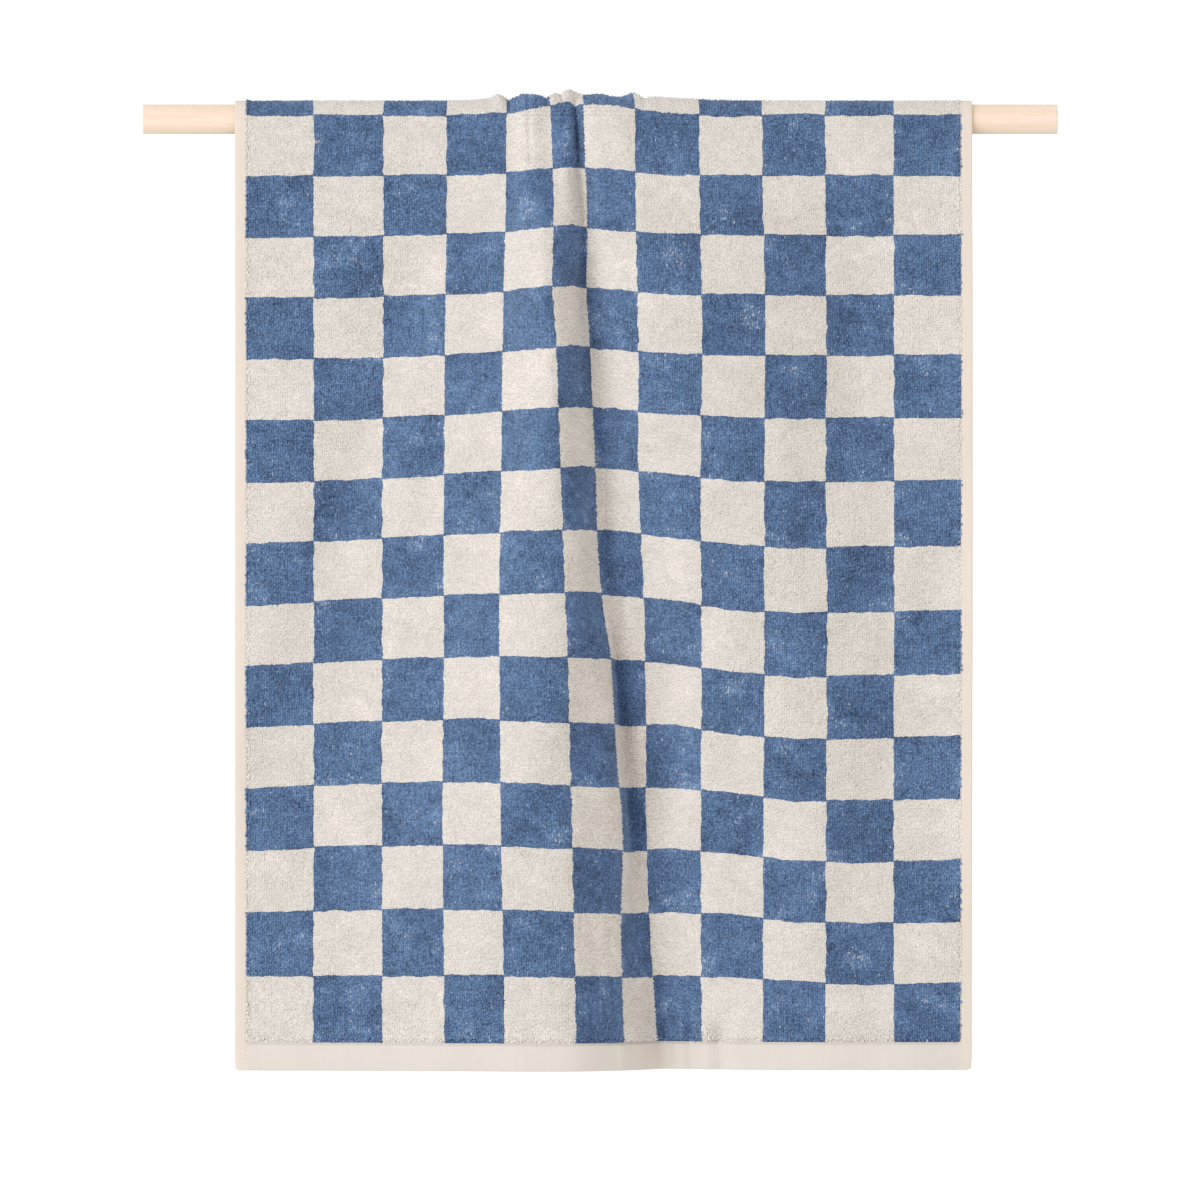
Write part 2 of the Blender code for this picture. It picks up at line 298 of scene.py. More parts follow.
def tuckRise(across, along):
    # Each hump or tuck is a bell in both directions
    total = np.zeros((len(along), len(across)))
    for row in crestTucks:
        tuck = dict(zip(tuckColumns, row))
        u = (across[None, :] - tuck["across"] * mm) / (tuck["halfAcross"] * mm)
        v = (along[:, None] - tuck["along"] * mm) / (tuck["halfAlong"] * mm)
        total += tuck["rise"] * mm * np.exp(-(u**2) - v**2)
    return total


def runningTotal(rate, places):
    # Sum from the left of the mean rate of neighbouring places times the gap between them
    middle = (rate[:, 1:] + rate[:, :-1]) / 2 * np.diff(places)[None, :]
    return np.concatenate([np.zeros((len(rate), 1)), np.cumsum(middle, axis=1)], axis=1)


def foldSection(along):
    # X and stand-out of each row on a fine grid across. The cloth keeps its width over its
    # folds, and where it is bunched it is squeezed until the row has the width that shows. On
    # the bar nothing sinks below the bare wrap.
    fine = np.linspace(0, cloth["width"], cloth["fineColumns"])
    height = standOut(fine, along)
    steep = np.clip(np.gradient(height, fine, axis=1), -cloth["steepest"], cloth["steepest"])
    level = np.sqrt(1 - steep**2)
    shareDown = (np.abs(along) / frontEnd)[:, None]
    centre = (bunch["atCrest"] + (bunch["atHem"] - bunch["atCrest"]) * shareDown) * mm
    bunched = level * np.exp(-(((fine[None, :] - centre) / (bunch["halfWidth"] * mm)) ** 4))
    spare = runningTotal(level, fine)[:, -1:] - cloth["shownWidth"]
    squeeze = spare / runningTotal(bunched, fine)[:, -1:]
    x = cloth["leftEdgeX"] + runningTotal(level - squeeze * bunched, fine)
    height = height + creaseRise(fine, along) + tuckRise(fine, along)
    onBar = (np.abs(along) < stations["underBar"])[:, None]
    return x, np.where(onBar, np.maximum(height, 0), height)


def sampleAcross(table, across):
    # Straight-line reading of a fine table at the wanted columns
    place = across / cloth["width"] * (table.shape[1] - 1)
    left = np.clip(place.astype(int), 0, table.shape[1] - 2)
    share = (place - left)[None, :]
    return table[:, left] * (1 - share) + table[:, left + 1] * share


def bareDrop(along):
    # Y and Z of the unfolded cloth, and of its outward direction: a plane in front, half a
    # circle over the bar, a plane behind
    angle = np.clip(along / wrapRadius, -math.pi / 2, math.pi / 2)
    past = np.abs(along) - quarterWrap
    y = -wrapRadius * np.sin(angle)
    z = np.where(past > 0, -past, wrapRadius * np.cos(angle))
    return y, z, -np.sin(angle), np.cos(angle)


def unit(vectors):
    # Each vector divided by its own length
    return vectors / np.maximum(np.linalg.norm(vectors, axis=-1, keepdims=True), 1e-12)


def clothSurface(across, along):
    # Mid-thickness points of the cloth with their outward, sideways and lengthwise directions
    x, height = foldSection(along)
    x, height = sampleAcross(x, across), sampleAcross(height, across)
    y, z, outY, outZ = (part[:, None] for part in bareDrop(along))
    points = np.stack([x, y + outY * height, z + outZ * height], axis=-1)
    sideways = unit(np.gradient(points, across, axis=1))
    lengthwise = unit(np.gradient(points, along, axis=0))
    outward = unit(np.cross(lengthwise, sideways))
    return points, outward, sideways, lengthwise


def insetFrom(across, along, left, right, back, front):
    # Distance in from the nearest of four lines on the flat cloth, negative outside them
    fromSides = np.minimum(across - left, right - across)
    fromEnds = np.minimum(along - back, front - along)
    return np.minimum(fromSides[None, :], fromEnds[:, None])


def columnsFromLeft(across):
    # Place across the pattern, counted in columns of checks
    return np.interp(across, np.array(columnEdges) * mm, np.arange(len(columnEdges)))


def keepInSeams(u, v):
    # The last bit of pile beside a seam keeps the colour of its check
    u = np.clip(u, seamShare, len(columnEdges) - 1 - seamShare)
    v = np.clip(v, seamShare, checkRows - seamShare)
    return np.stack([u, v], axis=-1)


def checkPlace(across, along):
    # Place in the pattern, counted in checks from the left seam and up from the front seam. The
    # rows' rise is a smooth curve down each listed place, and between places a straight line.
    u = columnsFromLeft(across)
    knots = np.array(rowHeights)
    rise = np.stack([smoothThrough(along, knots, np.array(row, float)) for _, row in rowRise])
    rise = np.where((along < knots[0])[None, :], 0.0, rise)
    places = np.array([place for place, _ in rowRise]) * mm
    share = np.stack([np.interp(across, places, chosen) for chosen in np.eye(len(places))])
    shifted = along[:, None] + rise.T @ share * mm
    v = (frontSeam - shifted) / checkLength
    return keepInSeams(np.broadcast_to(u[None, :], v.shape), v)


def flatPlace(across, along):
    # Place on the flat cloth, in metres
    return np.stack(np.meshgrid(across, along), axis=-1)


# Meshes and materials

def addToScene(name, data):
    # Puts a mesh, lamp or camera into the scene, at the origin and unturned
    holder = bpy.data.objects.new(name, data)
    bpy.context.scene.collection.objects.link(holder)
    return holder


def addMesh(name, points, faces, materials, maps, faceSlots=None):
    # points (n x 3) and faces (m x corners) go in as whole arrays; a map holds one place for
    # each point
    mesh = bpy.data.meshes.new(name)
    mesh.vertices.add(len(points))
    mesh.vertices.foreach_set("co", points.astype(np.float32).ravel())
    mesh.loops.add(faces.size)
    mesh.loops.foreach_set("vertex_index", faces.astype(np.int32).ravel())
    mesh.polygons.add(len(faces))
    mesh.polygons.foreach_set("loop_start", np.arange(0, faces.size, faces.shape[1], dtype=np.int32))
    for material in materials:
        mesh.materials.append(material)
    if faceSlots is not None:
        mesh.polygons.foreach_set("material_index", faceSlots.astype(np.int32))
    mesh.update(calc_edges=True)
    for mapName, places in maps.items():
        layer = mesh.uv_layers.new(name=mapName)
        layer.data.foreach_set("uv", places[faces.ravel()].astype(np.float32).ravel())
    mesh.shade_smooth()
    return addToScene(name, mesh)


def linear(red, green, blue):
    # A colour picked from a screen, 0 to 255, as the shader's own linear values
    screen = np.array([red, green, blue]) / 255
    values = np.where(screen <= 0.04045, screen / 12.92, ((screen + 0.055) / 1.055) ** 2.4)
    return (*values.tolist(), 1.0)


def darker(colour, share):
    # Each part of a colour times a share
    return (*(part * share for part in colour[:3]), 1.0)


def startMaterial(name, finish):
    # A material and its shader, with the plain values that the finish names
    material = bpy.data.materials.new(name)
    material.use_nodes = True
    shader = material.node_tree.nodes["Principled BSDF"]
    shader.inputs["Roughness"].default_value = finish["roughness"]
    shader.inputs["Specular IOR Level"].default_value = finish["specular"]
    shader.inputs["Sheen Weight"].default_value = finish.get("sheen", 0.0)
    shader.inputs["Sheen Roughness"].default_value = finish.get("sheenRoughness", 0.5)
    return material, material.node_tree, shader


def startGroup(name, places, colours, values, results):
    # A shader node group with named inputs, of which the values have defaults, and results.
    # Gives the group, what comes in and what goes out.
    group = bpy.data.node_groups.new(name, "ShaderNodeTree")
    for kind, names in (("Vector", places), ("Color", colours), ("Float", values)):
        for socketName in names:
            group.interface.new_socket(socketName, in_out="INPUT", socket_type="NodeSocket" + kind)
    for socketName, default in values.items():
        group.interface.items_tree[socketName].default_value = default
    for socketName, kind in results.items():
        group.interface.new_socket(socketName, in_out="OUTPUT", socket_type="NodeSocket" + kind)
    given = group.nodes.new("NodeGroupInput").outputs
    return group, given, group.nodes.new("NodeGroupOutput").inputs


def put(tree, socket, value):
    # Links a socket to what feeds it, or sets its plain value
    if isinstance(value, bpy.types.NodeSocket):
        tree.links.new(value, socket)
    else:
        socket.default_value = value


def maths(tree, operation, first, second=0.0, third=0.0):
    # One operation on values or sockets; MULTIPLY_ADD is first times second, plus third
    node = tree.nodes.new("ShaderNodeMath")
    node.operation = operation
    for socket, value in zip(node.inputs, (first, second, third)):
        put(tree, socket, value)
    return node.outputs[0]


def ramp(tree, value, low, high):
    # Smooth change from 0 to 1 while the value goes from low to high
    node = tree.nodes.new("ShaderNodeMapRange")
    node.interpolation_type = "SMOOTHSTEP"
    put(tree, node.inputs["Value"], value)
    node.inputs["From Min"].default_value = low
    node.inputs["From Max"].default_value = high
    return node.outputs["Result"]


def scaledPlace(tree, place, scale, shift=(0, 0, 0)):
    # Each part of a place times its scale, plus its shift
    mapping = tree.nodes.new("ShaderNodeMapping")
    tree.links.new(place, mapping.inputs["Vector"])
    mapping.inputs["Location"].default_value = shift
    mapping.inputs["Scale"].default_value = scale
    return mapping.outputs["Vector"]


def noise(tree, place, scale, detail=2.0, roughness=0.5, stretch=(1, 1, 1), shift=(0, 0, 0)):
    # Soft noise from 0 to 1, about scale patches to a metre, and fewer of them along an axis
    # whose stretch is below 1
    node = tree.nodes.new("ShaderNodeTexNoise")
    node.inputs["Scale"].default_value = scale
    node.inputs["Detail"].default_value = detail
    node.inputs["Roughness"].default_value = roughness
    tree.links.new(scaledPlace(tree, place, stretch, shift), node.inputs["Vector"])
    return node.outputs["Fac"]


def mix(tree, share, first, second, kind="FLOAT"):
    # first where the share is 0, second where it is 1, for plain values or colours
    node = tree.nodes.new("ShaderNodeMix")
    node.data_type = kind
    firstSocket, outSocket = (6, 2) if kind == "RGBA" else (2, 0)
    put(tree, node.inputs[0], share)
    put(tree, node.inputs[firstSocket], first)
    put(tree, node.inputs[firstSocket + 1], second)
    return node.outputs[outSocket]


def scaleColour(tree, colour, factor):
    # A colour, linked or plain, times a factor
    node = tree.nodes.new("ShaderNodeVectorMath")
    node.operation = "SCALE"
    put(tree, node.inputs[0], colour if isinstance(colour, bpy.types.NodeSocket) else colour[:3])
    put(tree, node.inputs["Scale"], factor)
    return node.outputs[0]


def partsOf(tree, place):
    # The separate X, Y and Z of a place
    split = tree.nodes.new("ShaderNodeSeparateXYZ")
    tree.links.new(place, split.inputs[0])
    return split.outputs


def uvPlace(tree, mapName):
    # The place that one of the piece's own maps gives
    node = tree.nodes.new("ShaderNodeUVMap")
    node.uv_map = mapName
    return node.outputs["UV"]


def useGroup(tree, group, values):
    # Places a group in a material, each named input linked or set, and gives its outputs
    node = tree.nodes.new("ShaderNodeGroup")
    node.node_tree = group
    for name, value in values.items():
        put(tree, node.inputs[name], value)
    return node.outputs


def sineWave(tree, place, halfTurns):
    # The sine of pi times halfTurns times the place
    return maths(tree, "SINE", maths(tree, "MULTIPLY", place, halfTurns * math.pi))


def buildCheckGroup():
    # Blue where the sign of sin(pi u) times sin(pi v) is below a small number, so that the two
    # colours alternate and a blue check is a little longer than a cream one. Thin patches,
    # stray loops, a slow mottle and a value for each yarn make it uneven.
    group, given, result = startGroup(
        "checkedYarn",
        places=("Check Place", "Flat Place"),
        colours=("Blue", "Cream"),
        values={
            "Edge Wander": 0.06,
            "Edge Fuzz": 0.02,
            "Blue Spread": 0.036,
            "Thin Help": 0.15,
            "Dashes": 0.45,
            "Single Loops": 0.4,
            "Blue Contrast": 1.0,
            "Cream Contrast": 0.3,
            "Reversed": 0.0,
        },
        results={"Colour": "Color"},
    )
    flat = given["Flat Place"]
    waves = []
    for place, shift in zip(partsOf(group, given["Check Place"]), ((0, 0, 0), (3.1, 7.7, 0))):
        for scale, strength in ((110.0, "Edge Wander"), (640.0, "Edge Fuzz")):
            wander = noise(group, flat, scale, detail=1.0, shift=shift)
            wander = maths(group, "SUBTRACT", wander, 0.5)
            place = maths(group, "MULTIPLY_ADD", wander, given[strength], place)
        waves.append(sineWave(group, place, 1.0))
    both = maths(group, "MULTIPLY", maths(group, "SIGN", waves[0]), waves[1])
    blue = maths(group, "LESS_THAN", both, given["Blue Spread"])
    blue = mix(group, given["Reversed"], blue, maths(group, "SUBTRACT", 1.0, blue))

    # Thin patches of pile, which help the cream ground to show as short lengthwise dashes, and
    # a few single stray loops anywhere
    patches = noise(group, flat, scale=46.0, detail=3.0, roughness=0.6)
    thin = ramp(group, patches, low=0.50, high=0.70)
    dashes = noise(group, flat, scale=900.0, detail=1.0, stretch=(1.0, 0.42, 1.0))
    dashes = maths(group, "MULTIPLY_ADD", thin, given["Thin Help"], dashes)
    dashes = ramp(group, dashes, low=0.70, high=0.80)
    single = noise(group, flat, scale=460.0, detail=0.0, stretch=(1.0, 0.5, 1.0))
    single = ramp(group, single, low=0.81, high=0.86)
    dashes = maths(group, "MULTIPLY", dashes, given["Dashes"])
    single = maths(group, "MULTIPLY", single, given["Single Loops"])
    strayInBlue = maths(group, "MULTIPLY", maths(group, "MAXIMUM", dashes, single), blue)

    # Shade of each yarn: slow mottle, thin patches, lengthwise bars, and loop by loop
    parts = (
        (noise(group, flat, scale=30.0, detail=4.0, roughness=0.6), 0.5, 0.85),
        (noise(group, flat, scale=120.0, detail=2.0, roughness=0.6), 0.5, 0.45),
        (thin, 0.3, 0.24),
        (noise(group, flat, scale=520.0, detail=1.0, stretch=(1.0, 0.35, 1.0)), 0.5, 0.65),
        (noise(group, flat, scale=780.0, detail=1.0, stretch=(1.0, 0.8, 1.0)), 0.5, 1.4),
    )
    shade = 0.0
    for value, middle, strength in parts:
        shade = maths(group, "MULTIPLY_ADD", maths(group, "SUBTRACT", value, middle), strength, shade)
    contrast = mix(group, blue, given["Cream Contrast"], given["Blue Contrast"])
    factor = maths(group, "MULTIPLY_ADD", shade, contrast, 1.0)

    cream = given["Cream"]
    plain = mix(group, blue, cream, given["Blue"], kind="RGBA")
    stained = mix(group, strayInBlue, scaleColour(group, plain, factor), cream, kind="RGBA")
    group.links.new(stained, result["Colour"])
    return group


def buildLoopReliefGroup():
    # Relief of loops seen from above: ribs as a sine across, broken along by noise
    group, given, result = startGroup(
        "loopRelief",
        places=("Flat Place",),
        colours=(),
        values={"Rib Pitch": 0.0014, "Rib Height": 0.25},
        results={"Height": "Float"},
    )
    flat = given["Flat Place"]
    turns = maths(group, "DIVIDE", partsOf(group, flat)[0], given["Rib Pitch"])
    broken = noise(group, flat, scale=620.0, detail=1.0, stretch=(1.0, 0.7, 1.0))
    rib = sineWave(group, turns, 2.0)
    height = maths(group, "MULTIPLY_ADD", rib, given["Rib Height"], broken)
    group.links.new(height, result["Height"])
    return group


def buildGrainGroup():
    # Beech: long soft bands, and short dark flecks that follow the grain
    group, given, result = startGroup(
        "beechGrain",
        places=("Place",),
        colours=("Pale", "Dark", "Fleck"),
        values={"Fine Share": 0.35, "Fleck Strength": 0.35},
        results={"Colour": "Color", "Height": "Float"},
    )
    place = given["Place"]
    bands = noise(group, place, scale=190.0, detail=3.0, roughness=0.6, stretch=(0.05, 1.0, 1.0))
    fine = noise(group, place, scale=1500.0, detail=2.0, roughness=0.6, stretch=(0.03, 1.0, 1.0))
    flecks = noise(group, place, scale=1100.0, detail=1.0, stretch=(0.22, 1.0, 1.0))
    grain = mix(group, given["Fine Share"], bands, fine)
    share = ramp(group, grain, low=0.36, high=0.66)
    base = mix(group, share, given["Pale"], given["Dark"], kind="RGBA")
    spots = ramp(group, flecks, low=0.66, high=0.74)
    spots = maths(group, "MULTIPLY", spots, given["Fleck Strength"])
    flecked = mix(group, spots, base, given["Fleck"], kind="RGBA")
    group.links.new(flecked, result["Colour"])
    group.links.new(maths(group, "SUBTRACT", fine, spots), result["Height"])
    return group


checkGroup = buildCheckGroup()
reliefGroup = buildLoopReliefGroup()
grainGroup = buildGrainGroup()
print("shader groups made:", len(bpy.data.node_groups))


# Colours as picked from a screen, and how each finish behaves. A relief is the depth of
# a bump in metres.
yarn = {
    "blue": linear(107, 130, 164),
    "cream": linear(236, 227, 218),
    "roughness": 0.95,
    "specular": 0.25,
    "sheen": 0.2,
    "sheenRoughness": 0.6,
    # The ground's colours are the loops' colours times these shares: painted shade between the loops
    "bluePaintedGroundShade": 0.7,  # of the ground between the loops, against the loops themselves
    "creamPaintedGroundShade": 0.78,
    "groundRelief": 0.0006,
    "reverseRelief": 0.0012,
}
hem = {
    "side": linear(225, 209, 193),
    "end": linear(216, 205, 195),
    "roughness": 0.9,
    "specular": 0.25,
    "sheen": 0.1,
    "sideColourFrom": -0.0006,  # from the side seam outwards, where the side's colour begins
    "sideColourFull": 0.0002,
    "shade": 0.93,
    "lineShade": 0.08,
    "cloudShade": 0.06,
    "turnedEdge": 0.0042,  # from the cloth's edge to the faint line where the side hem is turned
    "turnedShade": 0.05,
    "turnedHalfWidth": (0.0001, 0.0006),  # full shade within the first, none past the second
    "weavePitch": 0.0011,
    "weaveShare": 0.25,
    "relief": 0.00012,
}
thread = {
    "colour": linear(170, 168, 172),
    "roughness": 0.85,
    "specular": 0.3,
    "sheen": 0.1,
    "darkest": 0.8,
    "unevenness": 0.4,
}
beech = {
    "pale": linear(243, 220, 195),
    "dark": linear(237, 208, 180),
    "fleck": linear(206, 168, 130),
    "end": linear(226, 197, 162),
    "roughness": 0.55,
    "specular": 0.35,
    "endStretch": (1.0, 0.7, 0.7),
    "relief": 0.00006,
}


def addBump(tree, shader, height, distance):
    # Relief in the shading alone: height times distance, in metres
    bump = tree.nodes.new("ShaderNodeBump")
    bump.inputs["Distance"].default_value = distance
    put(tree, bump.inputs["Height"], height)
    tree.links.new(bump.outputs["Normal"], shader.inputs["Normal"])


def buildTerry(name, onReverse=0.0, relief=0.0, bluePaintedShade=1.0, creamPaintedShade=1.0):
    # Checked yarn; a flat stretch gets the loops' relief as bump, built loops need none
    material, tree, shader = startMaterial(name, yarn)
    flat = uvPlace(tree, "flatPlace")
    checked = useGroup(tree, checkGroup, {
        "Check Place": uvPlace(tree, "checkPlace"),
        "Flat Place": flat,
        # A share below 1 darkens the yarn's colour: painted shade, used for the ground between the
        # loops
        "Blue": darker(yarn["blue"], bluePaintedShade),
        "Cream": darker(yarn["cream"], creamPaintedShade),
        "Reversed": onReverse,
    })
    tree.links.new(checked["Colour"], shader.inputs["Base Color"])
    if relief:
        height = useGroup(tree, reliefGroup, {"Flat Place": flat})["Height"]
        addBump(tree, shader, height, relief)
    return material


def buildHemMaterial():
    # Flat woven hem: warmer at the sides, fine lengthwise lines, a faint line where the side
    # hem is turned, and a plain weave's relief, sine across times sine along
    material, tree, shader = startMaterial("woven_hem", hem)
    flat = uvPlace(tree, "flatPlace")
    parts = partsOf(tree, flat)
    halfWidth = cloth["width"] / 2
    fromMiddle = maths(tree, "ABSOLUTE", maths(tree, "SUBTRACT", parts[0], halfWidth))
    seam = halfWidth - cloth["sideHem"]
    atSide = ramp(tree, fromMiddle, seam + hem["sideColourFrom"], seam + hem["sideColourFull"])
    base = mix(tree, atSide, hem["end"], hem["side"], kind="RGBA")
    lines = noise(tree, flat, scale=900.0, detail=1.0, stretch=(1.0, 0.05, 1.0))
    cloud = noise(tree, flat, scale=90.0, detail=3.0, roughness=0.6)
    factor = maths(tree, "MULTIPLY_ADD", lines, hem["lineShade"], hem["shade"])
    factor = maths(tree, "MULTIPLY_ADD", cloud, hem["cloudShade"], factor)
    fromLine = maths(tree, "SUBTRACT", fromMiddle, halfWidth - hem["turnedEdge"])
    besideLine = ramp(tree, maths(tree, "ABSOLUTE", fromLine), *hem["turnedHalfWidth"])
    lineShade = mix(tree, besideLine, 1 - hem["turnedShade"], 1.0)
    factor = maths(tree, "MULTIPLY", factor, lineShade)
    tree.links.new(scaleColour(tree, base, factor), shader.inputs["Base Color"])
    waves = [sineWave(tree, part, 2 / hem["weavePitch"]) for part in parts[:2]]
    weave = maths(tree, "MULTIPLY", *waves)
    addBump(tree, shader, maths(tree, "MULTIPLY_ADD", weave, hem["weaveShare"], lines), hem["relief"])
    return material


def buildThreadMaterial():
    # Sewing thread: a little lighter and darker from stitch to stitch
    material, tree, shader = startMaterial("sewing_thread", thread)
    uneven = noise(tree, uvPlace(tree, "flatPlace"), scale=700.0)
    factor = maths(tree, "MULTIPLY_ADD", uneven, thread["unevenness"], thread["darkest"])
    tree.links.new(scaleColour(tree, thread["colour"], factor), shader.inputs["Base Color"])
    return material


def buildBeech(name, dark, stretch):
    # The side shows the grain's length; on the cut ends the same grain is seen end on
    material, tree, shader = startMaterial(name, beech)
    place = tree.nodes.new("ShaderNodeTexCoord").outputs["Object"]
    grain = useGroup(tree, grainGroup, {
        "Place": scaledPlace(tree, place, stretch),
        "Pale": beech["pale"],
        "Dark": dark,
        "Fleck": beech["fleck"],
    })
    tree.links.new(grain["Colour"], shader.inputs["Base Color"])
    addBump(tree, shader, grain["Height"], beech["relief"])
    return material


loopMaterial = buildTerry("terry_loops")
reverseLoopMaterial = buildTerry("terry_loops_reverse", onReverse=1.0)
# The ground between the loops is darkened: painted shade
groundMaterial = buildTerry(
    "terry_ground",
    relief=yarn["groundRelief"],
    bluePaintedShade=yarn["bluePaintedGroundShade"],
    creamPaintedShade=yarn["creamPaintedGroundShade"],
)
reverseMaterial = buildTerry("terry_reverse", onReverse=1.0, relief=yarn["reverseRelief"])
hemMaterial = buildHemMaterial()
threadMaterial = buildThreadMaterial()
beechSideMaterial = buildBeech("beech_side", beech["dark"], (1.0, 1.0, 1.0))
beechEndMaterial = buildBeech("beech_end_grain", beech["end"], beech["endStretch"])
print("materials made:", len(bpy.data.materials))


# The cloth sheet

def sheetPlaces(length, hemWidth, evenPoints):
    # Columns or rows of points: close together at the rounded edges and seams, even between.
    # The far half mirrors the near one.
    edge = np.array(cloth["pointsAtEdge"])
    seam = hemWidth + np.array(cloth["pointsAtSeam"])
    near = np.concatenate([edge, [(edge[-1] + seam[0]) / 2], seam])
    first = hemWidth + cloth["evenFromSeam"]
    between = np.linspace(first, length - first, evenPoints)
    return np.concatenate([near, between, length - near[::-1]])


def sheetGrid():
    # The sheet's columns and rows, with its own even rows where it is on the bar
    across = sheetPlaces(cloth["width"], cloth["sideHem"], cloth["columns"])
    along = backEnd + sheetPlaces(cloth["length"], cloth["endHem"], cloth["rows"])
    onBar = np.linspace(-quarterWrap, quarterWrap, cloth["barRows"])
    offBar = along[np.abs(along) > quarterWrap + cloth["clearOfBarRows"]]
    return across, np.sort(np.concatenate([offBar, onBar]))


def roundCorners(across, along):
    # Squares of the corner radius are squeezed into quarter circles: each side's distance
    # from the square's inner corner, as a share a of the radius, becomes a sqrt(1 - b^2 / 2)
    radius = cloth["cornerRadius"]
    toLeft, toRight = across, cloth["width"] - across
    toFront, toBack = frontEnd - along, along - backEnd
    a = np.clip(1 - np.minimum(toLeft, toRight) / radius, 0, 1)[None, :]
    b = np.clip(1 - np.minimum(toFront, toBack) / radius, 0, 1)[:, None]
    inAcross = (a - a * np.sqrt(1 - b**2 / 2)) * radius * np.where(toLeft < toRight, 1, -1)[None, :]
    inAlong = (b - b * np.sqrt(1 - a**2 / 2)) * radius * np.where(toFront < toBack, -1, 1)[:, None]
    return inAcross, inAlong


def faceLifts(across, along):
    # How far the front and the back stand off mid-thickness: half the hem's thickness, or the
    # level of that face's pile inside the seams, less a groove exp(-(depth / width)^2) at each
    # seam. At the edges both close as half a circle does.
    depth = insetFrom(across, along, *seamLines)
    inPile = softStep(depth / cloth["seamBlend"])
    groove = cloth["seamGroove"] * np.exp(-((depth / cloth["grooveWidth"]) ** 2))
    halfHem = cloth["hemThickness"] / 2
    fromEdge = insetFrom(across, along, 0, cloth["width"], backEnd, frontEnd)
    rim = np.sqrt(1 - (1 - np.clip(fromEdge / halfHem, 0, 1)) ** 2)
    ground, bare = cloth["groundLevel"], cloth["bareReverseLevel"]
    looped = softStep((along - cloth["loopedReverseFrom"]) / cloth["reverseBlend"])[:, None]
    reverse = bare + (ground - bare) * looped
    return [(halfHem + (level - halfHem) * inPile - groove) * rim for level in (ground, reverse)]


def joinFaces(front, back):
    # Rows of values for every point: the front's whole grid, then the back's without the rim
    size = front.shape[-1]
    return np.concatenate([front.reshape(-1, size), back[1:-1, 1:-1].reshape(-1, size)])


def quads(index, order):
    # The four-cornered faces of a grid of point numbers, with their corners in the given order
    corners = [index[:-1, :-1], index[:-1, 1:], index[1:, 1:], index[1:, :-1]]
    return np.stack([corners[i].ravel() for i in order], axis=1)


def buildSheet():
    # Mid-thickness points pulled in at the corners, plus and minus each face's lift along the
    # outward direction. The faces share the points of the rim, so the mesh is closed.
    across, along = sheetGrid()
    points, outward, sideways, lengthwise = clothSurface(across, along)
    inAcross, inAlong = roundCorners(across, along)
    points = points + sideways * inAcross[..., None] + lengthwise * inAlong[..., None]
    frontLift, backLift = faceLifts(across, along)
    front = points + outward * frontLift[..., None]
    back = points - outward * backLift[..., None]
    everyPoint = joinFaces(front, back)

    rows, columns = frontLift.shape
    frontIndex = np.arange(rows * columns).reshape(rows, columns)
    backIndex = frontIndex.copy()
    backIndex[1:-1, 1:-1] = np.arange(rows * columns, len(everyPoint)).reshape(rows - 2, columns - 2)
    faces = np.concatenate([quads(frontIndex, (0, 3, 2, 1)), quads(backIndex, (0, 1, 2, 3))])

    middleAcross = (across[:-1] + across[1:]) / 2
    middleAlong = (along[:-1] + along[1:]) / 2
    isPile = (insetFrom(middleAcross, middleAlong, *seamLines) > 0).ravel()
    slots = np.concatenate([np.where(isPile, 0, 2), np.where(isPile, 1, 2)])
    flat, check = flatPlace(across, along), checkPlace(across, along)
    maps = {"flatPlace": joinFaces(flat, flat), "checkPlace": joinFaces(check, check)}
    materials = (groundMaterial, reverseMaterial, hemMaterial)
    return addMesh("terry_towel", everyPoint, faces, materials, maps, slots)


sheet = buildSheet()
print("towel sheet:", len(sheet.data.polygons), "faces")


# The pile: one small three-sided tuft for each loop

loops = {
    "pitchAcross": 0.00140,
    "pitchAlong": 0.00156,
    "halfWidth": 0.00108,
    "halfLength": 0.00136,
    "height": 0.00105,
    "sunk": 0.00025,
    "lean": 0.00045,
    "droop": 0.00025,
    "jitterAcross": 0.00020,
    "jitterAlong": 0.00060,
    "spillAcross": 6.0,  # times as much jitter in the outermost columns and rows of loops,
    "spillAlong": 1.8,  # which stand a little higher too, so that the pile's edge is ragged
    "spillLift": 0.00055,
    "spillRows": 1.5,  # pitches from an end seam within which a row of loops spills
    "unevenSize": 0.20,
    "unevenHeight": 0.35,
    "yarnReach": 0.8,  # share of a loop's own size over which its colour may change
    "fromSeam": 0.0006,
    "endMargin": 0.6,  # share of a loop's half length kept clear at the ends of a run of rows
    "bakeCellFill": 0.46,
    "bands": 4,
    "seed": 7,
    "reverseSeed": 27,
}


def bakeCells(shape):
    # The bake's own layout: each loop has a cell where it stands on the cloth, nearly filled
    # by its three corners, with its tip inside them
    cellAcross = (np.arange(shape[1]) + 0.5) / shape[1]
    cellAlong = (np.arange(shape[0]) + 0.5) / shape[0]
    corner = np.array([(-1, -1), (1, -1), (0, 1), (0, -0.3)]) * loops["bakeCellFill"]
    return flatPlace(cellAcross, cellAlong)[:, :, None, :] + corner / np.array(shape[::-1])


